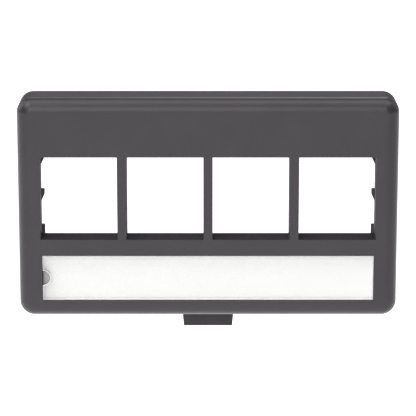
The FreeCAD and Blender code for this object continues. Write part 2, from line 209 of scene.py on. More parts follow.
class ShapeTree(NodeSheet):
    """A geometry tree with named inputs, which makes one piece."""

    def __init__(self, name: str) -> None:
        """Args:
            name: the tree's name.
        """
        super().__init__(bpy.data.node_groups.new(name, "GeometryNodeTree"))
        self.tree.interface.new_socket("Geometry", in_out="OUTPUT",
                                       socket_type="NodeSocketGeometry")
        self.source = self.add("NodeGroupInput")
        self.values: dict[str, float] = {}
        self.materials: list[bpy.types.Material] = []

    def size(self, name: str, value: float, kind: str = "NodeSocketFloat") -> Number:
        """Adds a named input.

        Args:
            name: its name.
            value: its value on the piece.
            kind: its socket type.

        Returns:
            The number that it gives.
        """
        item = self.tree.interface.new_socket(name, in_out="INPUT", socket_type=kind)
        item.default_value = value
        self.values[item.identifier] = value
        return Number(self, self.source.outputs[name], value)

    def sizes(self, measures: object) -> SimpleNamespace:
        """Adds an input for each field of a dataclass of millimetres.

        Args:
            measures: the dataclass. Whole numbers stay as they are.

        Returns:
            The numbers, in metres, under the fields' names.
        """
        numbers = SimpleNamespace()
        for name, value in asdict(measures).items():
            title = name.replace("_", " ").title()
            if isinstance(value, int):
                number = self.size(title, value, "NodeSocketInt")
            else:
                number = self.size(title, value * MM)
            setattr(numbers, name, number)
        return numbers

    def ring_and_place(self, count: int) -> tuple[Number, Number]:
        """Splits a vertex's index into its ring and its place on the ring.

        Args:
            count: vertices on a ring.

        Returns:
            The ring and the place.
        """
        index = Number(self, self.add("GeometryNodeInputIndex").outputs[0], 0.0)
        ring = self.math("FLOOR", (index + 0.5) / float(count))
        return ring, index - ring * float(count)

    def past_first_ring(self, ring: Number, value: Feed, first: Feed) -> Number:
        """A value past a mesh's first ring of vertices, and another on that ring."""
        node = self.add("GeometryNodeSwitch", {"Switch": self.more(ring, 0.5), "False": first,
                                               "True": value}, input_type="FLOAT")
        return Number(self, node.outputs[0], 0.0)

    def placed(self, mesh: bpy.types.NodeSocket, x: Feed, y: Feed,
               z: Feed) -> bpy.types.NodeSocket:
        """Puts every vertex of a mesh at x, y, z.

        Args:
            mesh: the mesh.
            x, y, z: the coordinates, which may follow from the vertex's index.

        Returns:
            The moved mesh.
        """
        return self.add("GeometryNodeSetPosition",
                        {"Geometry": mesh, "Position": self.point(x, y, z)}).outputs[0]

    def prism(self, corners: Sequence[tuple[Feed, Feed]], start: Feed, end: Feed,
              run: Run) -> bpy.types.NodeSocket:
        """Makes a closed prism on a flat outline.

        Args:
            corners: the outline, in Y and Z for a run along X, and in X and Z for one along Y.
            start: where it starts.
            end: where it ends, further along the axis.
            run: the axis.

        Returns:
            Its mesh, with outward faces.
        """
        turned = outline_turn(corners) * (1 if run is Run.X else -1)
        ordered = list(corners) if turned > 0 else list(reversed(corners))
        count = len(ordered)
        mesh = self.add("GeometryNodeMeshCylinder", {"Vertices": count}, fill_type="NGON")
        ring, corner = self.ring_and_place(count)
        outline = self.add("GeometryNodeIndexSwitch", data_type="VECTOR")
        while len(outline.index_switch_items) < count:
            outline.index_switch_items.new()
        self.feed(outline.inputs["Index"], corner)
        for place, (across, up) in enumerate(ordered):
            self.feed(outline.inputs[str(place)], self.point(across, 0.0, up))
        across, _, up = self.axes(outline.outputs[0])
        along = self.past_first_ring(ring, start, end)
        if run is Run.X:
            return self.placed(mesh.outputs["Mesh"], along, across, up)
        return self.placed(mesh.outputs["Mesh"], across, along, up)

    def box(self, left: Feed, right: Feed, front: Feed, back: Feed, bottom: Feed,
            top: Feed) -> bpy.types.NodeSocket:
        """A block between six planes."""
        corners = [(left, bottom), (right, bottom), (right, top), (left, top)]
        return self.prism(corners, front, back, Run.Y)

    def cushion(self, width: Feed, bottom: Feed, top: Feed, front: Feed, back: Feed,
                corner: Feed, edge: Feed, corner_steps: int,
                edge_steps: int) -> bpy.types.NodeSocket:
        """Makes a block with round corners, whose front edge is rounded too.

        Args:
            width: its width, about X = 0.
            bottom, top: its lowest and highest Z.
            front, back: its lowest and highest Y.
            corner: radius of the four corners seen from the front.
            edge: radius of the rounding round the front.
            corner_steps: segments round each corner.
            edge_steps: segments over the rounding.

        Returns:
            Its closed mesh, with outward faces.
        """
        per_corner = corner_steps + 1
        around = 4 * per_corner
        mesh = self.add("GeometryNodeMeshCylinder",
                        {"Vertices": around, "Side Segments": edge_steps + 1},
                        fill_type="NGON")
        ring, backwards = self.ring_and_place(around)
        place = -(backwards - float(around - 1))
        quarter = self.math("FLOOR", (place + 0.5) / float(per_corner))
        step = place - quarter * float(per_corner)
        angle = (quarter + step / float(corner_steps)) * QUARTER_TURN
        middle = (quarter + 0.5) * QUARTER_TURN
        lean = self.math("MAXIMUM", ring - 1.0, 0.0) * (QUARTER_TURN / edge_steps)
        radius = corner - edge + self.math("COSINE", lean) * edge
        half_width = width / 2.0 - corner
        half_height = (top - bottom) / 2.0 - corner
        centre = (top + bottom) / 2.0
        x = self.math("SIGN", self.math("COSINE", middle)) * half_width \
            + self.math("COSINE", angle) * radius
        z = self.math("SIGN", self.math("SINE", middle)) * half_height \
            + self.math("SINE", angle) * radius + centre
        rounded = edge - self.math("SINE", lean) * edge + front
        y = self.past_first_ring(ring, rounded, back)
        return self.placed(mesh.outputs["Mesh"], x, y, z)

    def peg(self, x: Feed, z: Feed, front: Feed, back: Feed, radius: Feed,
            sides: int) -> bpy.types.NodeSocket:
        """Makes a round peg along Y.

        Args:
            x, z: its middle.
            front, back: its ends.
            radius: its radius.
            sides: sides round it.

        Returns:
            Its mesh, with outward faces.
        """
        mesh = self.add("GeometryNodeMeshCylinder",
                        {"Vertices": sides, "Radius": radius, "Depth": back - front},
                        fill_type="NGON")
        middle = self.point(x, (front + back) / 2.0, z)
        return self.add("GeometryNodeTransform",
                        {"Geometry": mesh.outputs["Mesh"], "Translation": middle,
                         "Rotation": (QUARTER_TURN, 0.0, 0.0)}).outputs[0]

    def row(self, shape: bpy.types.NodeSocket, count: Feed,
            pitch: Feed) -> bpy.types.NodeSocket:
        """Repeats a shape along X.

        Args:
            shape: the first of the row, in its place.
            count: how many.
            pitch: from one to the next.

        Returns:
            The row as one mesh.
        """
        points = self.add("GeometryNodeMeshLine",
                          {"Count": count, "Offset": self.point(pitch)}, mode="OFFSET")
        copies = self.add("GeometryNodeInstanceOnPoints",
                          {"Points": points.outputs[0], "Instance": shape})
        return self.add("GeometryNodeRealizeInstances", {0: copies.outputs[0]}).outputs[0]

    def joined(self, shapes: list) -> bpy.types.NodeSocket:
        """One solid out of shapes that run into each other."""
        return self.add("GeometryNodeMeshBoolean", {1: shapes}, operation="UNION",
                        solver="EXACT").outputs[0]

    def cut(self, solid: bpy.types.NodeSocket, tools: list) -> bpy.types.NodeSocket:
        """A solid with shapes cut out of it."""
        return self.add("GeometryNodeMeshBoolean", {0: solid, 1: tools},
                        operation="DIFFERENCE", solver="EXACT").outputs[0]

    def either(self, *tests: bpy.types.NodeSocket) -> bpy.types.NodeSocket:
        """Joins tests.

        Args:
            tests: the tests.

        Returns:
            A test that holds where any of them does.
        """
        whole, *others = tests
        for test in others:
            whole = self.add("FunctionNodeBooleanMath", {0: whole, 1: test},
                             operation="OR").outputs[0]
        return whole

    def more(self, first: Feed, second: Feed) -> bpy.types.NodeSocket:
        """True where the first number is more than the second."""
        return self.add("FunctionNodeCompare", {"A": first, "B": second}, data_type="FLOAT",
                        operation="GREATER_THAN").outputs[0]

    def position(self) -> tuple[Number, Number, Number]:
        """The X, Y and Z of each point or face."""
        return self.axes(self.add("GeometryNodeInputPosition").outputs[0])

    def finish(self, shape: bpy.types.NodeSocket, material: bpy.types.Material,
               accents: Sequence[tuple[bpy.types.Material, bpy.types.NodeSocket]] = ()
               ) -> None:
        """Ends the tree.

        Args:
            shape: the finished shape.
            material: what it is made of.
            accents: other finishes, each with the faces that have it.
        """
        self.materials = [material]
        real = self.add("GeometryNodeRealizeInstances", {0: shape})
        dressed = self.add("GeometryNodeSetMaterial",
                           {"Geometry": real.outputs[0], "Material": material})
        for accent, where in accents:
            self.materials.append(accent)
            dressed = self.add("GeometryNodeSetMaterial",
                               {"Geometry": dressed.outputs[0], "Selection": where,
                                "Material": accent})
        self.add("NodeGroupOutput", {0: dressed.outputs[0]})

    def make(self, name: str) -> bpy.types.Object:
        """Runs the tree.

        Args:
            name: the piece's name.

        Returns:
            The piece, as a plain mesh.
        """
        piece = bpy.data.objects.new(name, bpy.data.meshes.new(name))
        bpy.context.scene.collection.objects.link(piece)
        modifier = piece.modifiers.new("Shape", "NODES")
        modifier.node_group = self.tree
        for identifier, value in self.values.items():
            modifier[identifier] = value
        make_plain(piece)
        given = list(piece.data.materials)
        finish = [self.materials.index(given[polygon.material_index])
                  for polygon in piece.data.polygons]
        piece.data.materials.clear()
        for material in self.materials:
            piece.data.materials.append(material)
        piece.data.polygons.foreach_set("material_index", finish)
        return piece


def outline_turn(corners: Sequence[tuple[Feed, Feed]]) -> float:
    """Tells which way an outline runs.

    Args:
        corners: the outline.

    Returns:
        Twice the area inside it, positive where its corners run anticlockwise.
    """
    places = [(plain(across), plain(up)) for across, up in corners]
    following = places[1:] + places[:1]
    return sum(a * d - c * b for (a, b), (c, d) in zip(places, following))


def make_plain(piece: bpy.types.Object) -> None:
    """Turns a piece's modifiers into plain mesh.

    Args:
        piece: the piece.
    """
    graph = bpy.context.evaluated_depsgraph_get()
    graph.update()
    mesh = bpy.data.meshes.new_from_object(piece.evaluated_get(graph))
    mesh.name = piece.name
    piece.modifiers.clear()
    piece.data = mesh


def tidy_mesh(piece: bpy.types.Object) -> None:
    """Merges doubled points and dissolves the edges inside flat faces.

    Args:
        piece: the piece.
    """
    work = bmesh.new()
    work.from_mesh(piece.data)
    bmesh.ops.remove_doubles(work, verts=work.verts, dist=MERGE_DISTANCE)
    bmesh.ops.dissolve_limit(work, angle_limit=FLAT_ANGLE, verts=work.verts, edges=work.edges,
                             delimit={"MATERIAL"})
    bmesh.ops.recalc_face_normals(work, faces=work.faces)
    work.to_mesh(piece.data)
    work.free()


def soften(piece: bpy.types.Object, radius: float, segments: int, bluntest: float,
           miter: Miter) -> None:
    """Rounds a piece's sharp edges.

    Args:
        piece: the piece.
        radius: the width of the rounding.
        segments: segments over it.
        bluntest: the smallest angle between faces whose edge is rounded.
        miter: how roundings meet.
    """
    piece.data.shade_smooth()
    bevel = piece.modifiers.new("Edges", "BEVEL")
    bevel.width = radius
    bevel.segments = segments
    bevel.limit_method = "ANGLE"
    bevel.angle_limit = bluntest
    bevel.miter_outer = miter.value
    piece.modifiers.new("Normals", "WEIGHTED_NORMAL").keep_sharp = True
    make_plain(piece)


# -- Finishes --------------------------------------------------------------------------------

Colour = tuple[float, float, float]


class Shader(NodeSheet):
    """A material's node tree, with its main shader at hand."""

    layer_strength = 0.55
    number_stretch = (0.3, 0.7)
    colour_stretch = (0.35, 0.65)
    mix_base, mix_other, mix_result = 6, 7, 2

    def __init__(self, name: str) -> None:
        """Args:
            name: the material's name.
        """
        self.material = bpy.data.materials.new(name)
        self.material.use_nodes = True
        super().__init__(self.material.node_tree)
        self.surface = self.tree.nodes["Principled BSDF"]
        self.place = self.add("ShaderNodeTexCoord").outputs["Object"]

    def noise(self, grain_mm: float, detail: float,
              stretch: Colour = (1.0, 1.0, 1.0)) -> bpy.types.NodeSocket:
        """Adds a noise pattern.

        Args:
            grain_mm: size of its grain, in millimetres.
            detail: how many finer layers it has.
            stretch: how much denser it is along each axis.

        Returns:
            The pattern, between 0 and 1.
        """
        mapping = self.add("ShaderNodeMapping", {"Vector": self.place, "Scale": stretch})
        noise = self.add("ShaderNodeTexNoise",
                         {"Vector": mapping.outputs[0], "Scale": 1.0 / (grain_mm * MM),
                          "Detail": detail, "Roughness": self.layer_strength})
        return noise.outputs[0]

    def between(self, pattern: bpy.types.NodeSocket, low: float,
                high: float) -> bpy.types.NodeSocket:
        """Turns a pattern into a number between two values."""
        return self.slope(pattern, *self.number_stretch, low, high).socket

    def blend(self, pattern: bpy.types.NodeSocket, first: Colour,
              second: Colour) -> bpy.types.NodeSocket:
        """Turns a pattern into a colour between two colours.

        Args:
            pattern: the pattern.
            first, second: the colours where it is low and high.

        Returns:
            The colour.
        """
        ramp = self.add("ShaderNodeValToRGB", {0: pattern})
        for stop, at, colour in zip(ramp.color_ramp.elements, self.colour_stretch,
                                    (first, second)):
            stop.position = at
            stop.color = (*colour, 1.0)
        return ramp.outputs[0]

    def relief(self, pattern: bpy.types.NodeSocket, height_mm: float,
               strength: float) -> None:
        """Gives the surface a fine relief.

        Args:
            pattern: its heights, between 0 and 1.
            height_mm: its depth, in millimetres.
            strength: how much of it shows.
        """
        bump = self.add("ShaderNodeBump", {"Height": pattern, "Distance": height_mm * MM,
                                           "Strength": strength})
        self.feed(self.surface.inputs["Normal"], bump.outputs[0])

    def slope(self, number: Union[Number, bpy.types.NodeSocket], start: float, end: float,
              first: float, last: float) -> Number:
        """Maps a stretch of a number to values that run from first to last."""
        node = self.add("ShaderNodeMapRange", {"Value": number, "From Min": start,
                                               "From Max": end, "To Min": first,
                                               "To Max": last})
        return Number(self, node.outputs[0], last)

    def mix(self, share: Number, base: bpy.types.NodeSocket,
            other: Colour) -> bpy.types.NodeSocket:
        """Mixes a share of another colour into a colour."""
        feeds = {0: share, self.mix_base: base, self.mix_other: (*other, 1.0)}
        return self.add("ShaderNodeMix", feeds, data_type="RGBA").outputs[self.mix_result]

    def reach(self, centre: Vector) -> bpy.types.NodeSocket:
        """Measures how far each point lies from an axis that runs front to back.

        Args:
            centre: a point on the axis.

        Returns:
            The distance.
        """
        away = self.add("ShaderNodeVectorMath", {0: self.place, 1: tuple(centre)},
                        operation="SUBTRACT")
        flat = self.add("ShaderNodeVectorMath", {0: away.outputs[0], 1: (1.0, 0.0, 1.0)},
                        operation="MULTIPLY")
        return self.add("ShaderNodeVectorMath", {0: flat.outputs[0]},
                        operation="LENGTH").outputs["Value"]

    def set(self, **values: object) -> None:
        """Sets the main shader's own sockets.

        Args:
            values: what each gets, under its name with underscores.
        """
        for name, value in values.items():
            title = name.replace("_", " ").title().replace("Ior", "IOR")
            self.feed(self.surface.inputs[title], value)


@dataclass(frozen=True)
class WitnessLine:
    """Painted highlight: a pale line where the top edge's rounding starts, brighter towards +X.

    It lies above the height `start` and in front of the depth `end`.
    """

    start: float
    end: float
    half_length: float
    # The painted highlight's colour, and its share at -X (faint) and at +X (strong).
    colour: Colour = (0.145, 0.137, 0.145)
    faint: float = 0.3
    strong: float = 1.0
    soft_edge_mm: float = 0.05
    drop_share: float = 0.05

    @classmethod
    def over(cls, low: Sequence[float], high: Sequence[float], radius: float) -> "WitnessLine":
        """Places the line on the top edge of a box.

        Args:
            low, high: the box's corners.
            radius: the rounding of its front edges.

        Returns:
            The line, where that rounding starts.
        """
        return cls(high[2] - cls.drop_share * radius, low[1] + radius, high[0])

    def paint(self, shader: Shader, base: bpy.types.NodeSocket) -> bpy.types.NodeSocket:
        """Paints the highlight line over a colour.

        Args:
            shader: the material's tree.
            base: the plastic's own colour.

        Returns:
            The colour with the line on it.
        """
        x, y, z = shader.axes(shader.place)
        soft = self.soft_edge_mm * MM
        above = shader.slope(z, self.start, self.start + soft, 0.0, 1.0)
        before = shader.slope(y, self.end, self.end + soft, 1.0, 0.0)
        # Painted highlight: brighter towards +X, as a lamp on that side would light it.
        along = shader.slope(x, -self.half_length, self.half_length, self.faint, self.strong)
        return shader.mix(above * before * along, base, self.colour)


@dataclass(frozen=True)
class MouldedPlastic:
    """Dark ABS from a lightly textured mould."""

    name: str
    smoothest: float
    roughest: float
    gloss: float
    # Scales the colours; below 1 it darkens them as painted shade.
    depth: float = 1.0
    # An optional painted highlight line along the top edge.
    line: Optional[WitnessLine] = None
    dark: Colour = (0.0322, 0.0283, 0.0332)
    light: Colour = (0.0360, 0.0317, 0.0370)
    grain_mm: float = 0.22
    grain_layers: float = 3.0
    flow_mm: float = 9.0
    flow_layers: float = 2.0
    relief_mm: float = 0.004
    relief_strength: float = 0.35

    def make(self) -> bpy.types.Material:
        """Makes the finish.

        Returns:
            The material.
        """
        shader = Shader(self.name)
        grain = shader.noise(self.grain_mm, self.grain_layers)
        flow = shader.noise(self.flow_mm, self.flow_layers)
        # A depth below 1 darkens the colours: painted shade.
        dark, light = (tuple(self.depth * part for part in colour)
                       for colour in (self.dark, self.light))
        colour = shader.blend(flow, dark, light)
        if self.line:
            colour = self.line.paint(shader, colour)
        shader.set(base_color=colour,
                   roughness=shader.between(grain, self.smoothest, self.roughest),
                   specular_ior_level=self.gloss)
        shader.relief(grain, self.relief_mm, self.relief_strength)
        return shader.material


@dataclass(frozen=True)
class CardStock:
    """Smooth white card with a faint fibre, greyed as painted shade where the notch bares it."""

    name: str = "white_card"
    dark: Colour = (0.86, 0.86, 0.85)
    light: Colour = (0.90, 0.90, 0.895)
    handled: Colour = (0.65, 0.65, 0.645)
    fibre_mm: float = 0.3
    stretch: Colour = (0.35, 1.0, 1.0)
    fibre_layers: float = 4.0
    smoothest: float = 0.75
    roughest: float = 0.9
    gloss: float = 0.25
    relief_mm: float = 0.003
    relief_strength: float = 0.3
    bared_radius_mm: float = 1.4
    soft_edge_mm: float = 0.08

    def make(self, bared: Vector) -> bpy.types.Material:
        """Makes the finish.

        Args:
            bared: the middle of the spot that the cover's notch bares.

        Returns:
            The material.
        """
        shader = Shader(self.name)
        fibre = shader.noise(self.fibre_mm, self.fibre_layers, self.stretch)
        reach = self.bared_radius_mm * MM
        # Painted shade: the card is greyed where the notch bares it, for the shade down in the
        # notch.
        spot = shader.slope(shader.reach(bared), reach, reach + self.soft_edge_mm * MM, 1.0,
                            0.0)
        colour = shader.mix(spot, shader.blend(fibre, self.dark, self.light), self.handled)
        shader.set(base_color=colour,
                   roughness=shader.between(fibre, self.smoothest, self.roughest),
                   specular_ior_level=self.gloss)
        shader.relief(fibre, self.relief_mm, self.relief_strength)
        return shader.material


class Clarity(Enum):
    """How much of the cover's surface can be seen, against how much is seen through."""

    CLEAR = 0.06
    FROSTED = 0.92
    MILLED = 0.97


@dataclass(frozen=True)
class CoverPlastic:
    """Clear acrylic, polished on its faces and milky where it was cut."""

    name: str
    clarity: Clarity
    smoothest: float
    roughest: float
    colour: Colour = (0.93, 0.93, 0.925)
    shade: float = 0.985
    ripple_mm: float = 3.5
    grain_mm: float = 0.25
    layers: float = 2.0
    relief_mm: float = 0.001
    relief_strength: float = 0.2

    def make(self) -> bpy.types.Material:
        """Makes the finish.

        Returns:
            The material.
        """
        shader = Shader(self.name)
        ripple = shader.noise(self.ripple_mm, self.layers)
        grain = shader.noise(self.grain_mm, self.layers)
        shaded = tuple(self.shade * part for part in self.colour)
        shader.set(base_color=shader.blend(ripple, shaded, self.colour),
                   roughness=shader.between(grain, self.smoothest, self.roughest),
                   alpha=self.clarity.value)
        shader.relief(grain, self.relief_mm, self.relief_strength)
        return shader.material


# -- The moulded plate -----------------------------------------------------------------------

@dataclass
class PlateSizes:
    """Sizes of the moulded plate, in millimetres."""

    port_count: int = 4
    port_width: float = 14.9
    port_height: float = 16.3
    bar_width: float = 1.8
    bar_depth: float = 5.8
    plate_depth: float = 9.7
    side_margin: float = 4.4
    top_margin: float = 11.35
    label_gap: float = 3.25
    label_height: float = 8.9
    label_inset: float = 0.25
    bottom_margin: float = 3.45
    corner_radius: float = 2.9
    edge_radius: float = 2.6
    front_wall: float = 2.2
    side_wall: float = 2.0
    inner_corner_radius: float = 1.1
    inner_edge_radius: float = 0.6
    ledge_thickness: float = 2.0
    latch_room: float = 3.3
    latch_depth: float = 6.6
    latch_lift: float = 1.4
    latch_land: float = 0.6
    latch_ramp: float = 1.2
    bay_depth: float = 8.6
    roof_wall: float = 1.5
    step_depth: float = 3.8
    step_width: float = 0.3
    cheek_wall: float = 1.2
    lug_thickness: float = 1.2
    lug_reach: float = 0.45
    lug_slope: float = 1.6
    brace_height: float = 1.3
    hook_rise: float = 8.8
    hook_height: float = 1.05
    block_height: float = 1.65
    label_depth: float = 1.95
    backing_wall: float = 1.2
    backing_rim: float = 0.7
    tongue_width: float = 10.4
    tongue_tip_width: float = 9.6
    tongue_length: float = 4.0
    tongue_thickness: float = 1.6
    cutout_height: float = 34.9
    panel_grip: float = 1.8
    catch_spacing: float = 33.4
    catch_width: float = 8.0
    catch_overlap: float = 0.6
    catch_clearance: float = 0.2
    arm_thickness: float = 1.2
    arm_reach: float = 4.4
    arm_land: float = 0.5
    arm_nose: float = 0.5
    root_brace: float = 0.7
    hook_thickness: float = 1.6
    hook_overlap: float = 1.6


@dataclass
class MouldedPlate:
    """The plate with its ports, label seat, tongue, spring arms and hooks, in one piece."""

    outside: MouldedPlastic
    inside: MouldedPlastic
    under: MouldedPlastic
    measures: PlateSizes = field(default_factory=PlateSizes)
    corner_steps: int = 20
    edge_steps: int = 20
    hollow_steps: int = 8
    overshoot_mm: float = 1.0
    skin_share: float = 0.8
    near_share: float = 0.1
    bevel_mm: float = 0.08
    bevel_segments: int = 3
    bevel_from: float = math.radians(32)

    def build(self) -> bpy.types.Object:
        """Builds and dresses the plate.

        Returns:
            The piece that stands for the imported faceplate.
        """
        tree = ShapeTree("moulded_plate")
        self.tree = tree
        self.size = tree.sizes(self.measures)
        self.lay_out()
        body = tree.joined([self.shell(), self.bay_block(), self.backing(), self.tongue(),
                            *self.catches()])
        opened = tree.cut(body, [*self.bay_tools(), self.port_row(), self.window()])
        # The inside finish is darker in colour than the outside: painted shade on the faces
        # behind the skin.
        tree.finish(tree.joined([opened, *self.lugs()]), self.inside.make(),
                    [(self.outside.make(), self.outer_faces()),
                     (self.under.make(), self.tongue_faces())])
        piece = tree.make("faceplate_moulding")
        tidy_mesh(piece)
        soften(piece, self.bevel_mm * MM, self.bevel_segments, self.bevel_from, Miter.ARC)
        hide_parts("faceplate")
        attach(piece, ROOT_BODY)
        return piece

    def lay_out(self) -> None:
        """Works out the planes that the plate's parts share."""
        size = self.size
        size.pitch = size.port_width + size.bar_width
        size.bay_half = (size.port_count * size.pitch - size.bar_width) / 2.0
        size.width = (size.bay_half + size.side_margin) * 2.0
        height = size.top_margin + size.port_height + size.label_gap + size.label_height \
            + size.bottom_margin
        size.top = height / 2.0
        size.bottom = -size.top
        size.port_top = size.top - size.top_margin
        size.port_bottom = size.port_top - size.port_height
        size.ledge_bottom = size.port_bottom - size.ledge_thickness
        size.roof_inside = size.port_top + size.latch_room
        size.roof_outside = size.roof_inside + size.roof_wall
        size.label_top = size.port_bottom - size.label_gap
        size.label_bottom = size.label_top - size.label_height
        size.label_half = size.bay_half - size.label_inset
        size.cheek_inside = size.bay_half + size.step_width
        size.cheek_outside = size.cheek_inside + size.cheek_wall
        size.root = self.at(size.front_wall / 2.0)
        size.beyond = self.tree.size("Overshoot", self.overshoot_mm * MM)

    def at(self, depth: Feed) -> Number:
        """The Y of a depth behind the face."""
        return -(self.size.plate_depth - depth)

    def outer_faces(self) -> bpy.types.NodeSocket:
        """Picks the outer skin and the lugs' fronts, which get the face's polish and full colour.

        Returns:
            A test that holds on those faces.
        """
        size, tree = self.size, self.tree
        x, y, z = tree.position()
        across, up = tree.math("ABSOLUTE", x), tree.math("ABSOLUTE", z)
        margin = size.side_wall * self.skin_share
        from_front = tree.math("ABSOLUTE", y - self.at(size.bar_depth))
        from_lugs = size.bay_half - size.lug_reach - across
        from_edge = tree.math("ABSOLUTE", up - (size.top - margin / 2.0))
        return tree.either(
            tree.more(size.lug_thickness * self.near_share,
                      tree.math("MAXIMUM", from_front, from_lugs)),
            tree.more(self.at(size.front_wall * (1.0 - self.skin_share)), y),
            tree.more(across, size.width / 2.0 - margin),
            tree.more(margin * (0.5 + self.near_share), from_edge))

    def tongue_faces(self) -> bpy.types.NodeSocket:
        """Picks the tongue.

        Returns:
            A test that holds on its faces, below the plate.
        """
        *_, z = self.tree.position()
        below = self.size.bottom - self.size.tongue_thickness * self.near_share
        return self.tree.more(below, z)

    def shell(self) -> bpy.types.NodeSocket:
        """Makes the outer form, hollow behind the face.

        Returns:
            Its mesh.
        """
        size, tree = self.size, self.tree
        outside = tree.cushion(size.width, size.bottom, size.top, self.at(0.0), 0.0,
                               size.corner_radius, size.edge_radius, self.corner_steps,
                               self.edge_steps)
        inside = tree.cushion(size.width - size.side_wall * 2.0, size.bottom + size.side_wall,
                              size.top - size.side_wall, self.at(size.front_wall), size.beyond,
                              size.inner_corner_radius, size.inner_edge_radius,
                              self.hollow_steps, self.hollow_steps)
        return tree.cut(outside, [inside])

    def bay_block(self) -> bpy.types.NodeSocket:
        """The block behind the face that the ports' walls are left from."""
        size = self.size
        return self.tree.box(-size.cheek_outside, size.cheek_outside, size.root,
                             self.at(size.bay_depth), size.ledge_bottom, size.roof_outside)

    def bay_tools(self) -> list:
        """Makes what is cut out of that block.

        Returns:
            The latch rooms, the end set-backs and the space behind.
        """
        size, tree = self.size, self.tree
        left = -size.bay_half
        back = self.at(size.bar_depth)
        inside_back = back + size.latch_land
        room = tree.box(left, left + size.port_width, self.at(size.front_wall), inside_back,
                        size.port_bottom, size.roof_inside)
        tools = [tree.row(room, size.port_count, size.pitch)]
        near = size.bay_half - size.step_width
        for first, second in ((near, size.cheek_inside), (-size.cheek_inside, -near)):
            tools.append(tree.box(first, second, self.at(size.step_depth), inside_back,
                                  size.port_bottom, size.roof_inside))
        land = size.port_top + size.latch_lift
        ramp_end = self.at(size.bay_depth) + size.beyond
        slope = size.latch_ramp / (size.bay_depth - size.latch_depth - size.latch_land)
        rise = (size.bay_depth - size.latch_depth - size.latch_land + size.beyond) * slope
        low = size.ledge_bottom - size.beyond
        tools.append(tree.prism([
            (back, low), (ramp_end, low), (ramp_end, land + rise),
            (self.at(size.latch_depth + size.latch_land), land),
            (self.at(size.latch_depth), land), (self.at(size.latch_depth), size.roof_inside),
            (back, size.roof_inside),
        ], -size.cheek_inside, size.cheek_inside, Run.X))
        return tools

    def port_row(self) -> bpy.types.NodeSocket:
        """Makes the keystone openings through the face.

        Returns:
            The row of them, to cut.
        """
        size, tree = self.size, self.tree
        left = -size.bay_half
        port = tree.box(left, left + size.port_width, self.at(-size.beyond),
                        self.at(size.front_wall + size.latch_land), size.port_bottom,
                        size.port_top)
        return tree.row(port, size.port_count, size.pitch)

    def lugs(self) -> list:
        """Makes the corner brace, hooked lug and low lug on each cheek.

        Returns:
            One mesh for each cheek.
        """
        size, tree = self.size, self.tree
        rooted = size.cheek_inside + size.cheek_wall / 2.0
        tip = size.bay_half - size.lug_reach
        inside = size.cheek_inside
        brace = size.port_top - size.brace_height
        hook = size.port_bottom + size.hook_rise
        hook_tip = hook - size.hook_height
        block = size.port_bottom + size.block_height
        outline = [
            (rooted, size.roof_outside), (tip, size.roof_outside), (tip, brace),
            (inside, brace - size.lug_slope), (inside, hook), (tip, hook), (tip, hook_tip),
            (inside, hook_tip - size.lug_slope), (inside, block), (tip, block),
            (tip, size.ledge_bottom), (rooted, size.ledge_bottom),
        ]
        front, back = self.at(size.bar_depth), self.at(size.bar_depth + size.lug_thickness)
        mirrored = [(-across, up) for across, up in outline]
        return [tree.prism(side, front, back, Run.Y) for side in (outline, mirrored)]

    def backing(self) -> bpy.types.NodeSocket:
        """Makes the wall behind the label, past the window all round.

        Returns:
            Its mesh.
        """
        size = self.size
        half = size.label_half + size.backing_rim
        return self.tree.box(-half, half, size.root,
                             self.at(size.label_depth + size.backing_wall),
                             size.label_bottom - size.backing_rim,
                             size.label_top + size.backing_rim)

    def window(self) -> bpy.types.NodeSocket:
        """The recess for the card and the cover."""
        size = self.size
        return self.tree.box(-size.label_half, size.label_half, self.at(-size.beyond),
                             self.at(size.label_depth), size.label_bottom, size.label_top)

    def tongue(self) -> bpy.types.NodeSocket:
        """Makes the tapered tongue under the plate.

        Returns:
            Its mesh.
        """
        size = self.size
        root = size.bottom + size.side_wall / 2.0
        half, tip_half = size.tongue_width / 2.0, size.tongue_tip_width / 2.0
        tip = size.bottom - size.tongue_length
        outline = [(-half, root), (-half, size.bottom), (-tip_half, tip), (tip_half, tip),
                   (half, size.bottom), (half, root)]
        return self.tree.prism(outline, -size.tongue_thickness, 0.0, Run.Y)

    def catches(self) -> list:
        """Makes two spring arms above and two rigid hooks below.

        Returns:
            Their meshes.
        """
        size, tree = self.size, self.tree
        arm_top = size.cutout_height / 2.0 - size.catch_clearance
        arm_bottom = arm_top - size.arm_thickness
        barb_top = size.cutout_height / 2.0 + size.catch_overlap
        wall = self.at(size.front_wall)
        arm = [
            (size.root, arm_bottom), (size.arm_reach, arm_bottom),
            (size.arm_reach, arm_top - size.arm_nose),
            (size.panel_grip + size.arm_land, barb_top), (size.panel_grip, barb_top),
            (size.panel_grip, arm_top), (wall + size.root_brace, arm_top),
            (wall, arm_top + size.root_brace), (size.root, arm_top + size.root_brace),
        ]
        hook_bottom = size.catch_clearance - size.cutout_height / 2.0
        hook_top = hook_bottom + size.hook_thickness
        lip = -size.cutout_height / 2.0 - size.hook_overlap
        root = self.at(size.label_depth + size.backing_wall / 2.0)
        backing = self.at(size.label_depth + size.backing_wall)
        hook = [
            (root, hook_bottom), (size.panel_grip, hook_bottom), (size.panel_grip, lip),
            (size.panel_grip + size.hook_thickness, lip),
            (size.panel_grip + size.hook_thickness, hook_top),
            (backing + size.root_brace, hook_top), (backing, hook_top + size.root_brace),
            (root, hook_top + size.root_brace),
        ]
        near = size.catch_spacing / 2.0 - size.catch_width / 2.0
        far = near + size.catch_width
        return [tree.prism(outline, start, end, Run.X) for outline in (arm, hook)
                for start, end in ((near, far), (-far, -near))]


# -- The pieces in the label window ----------------------------------------------------------

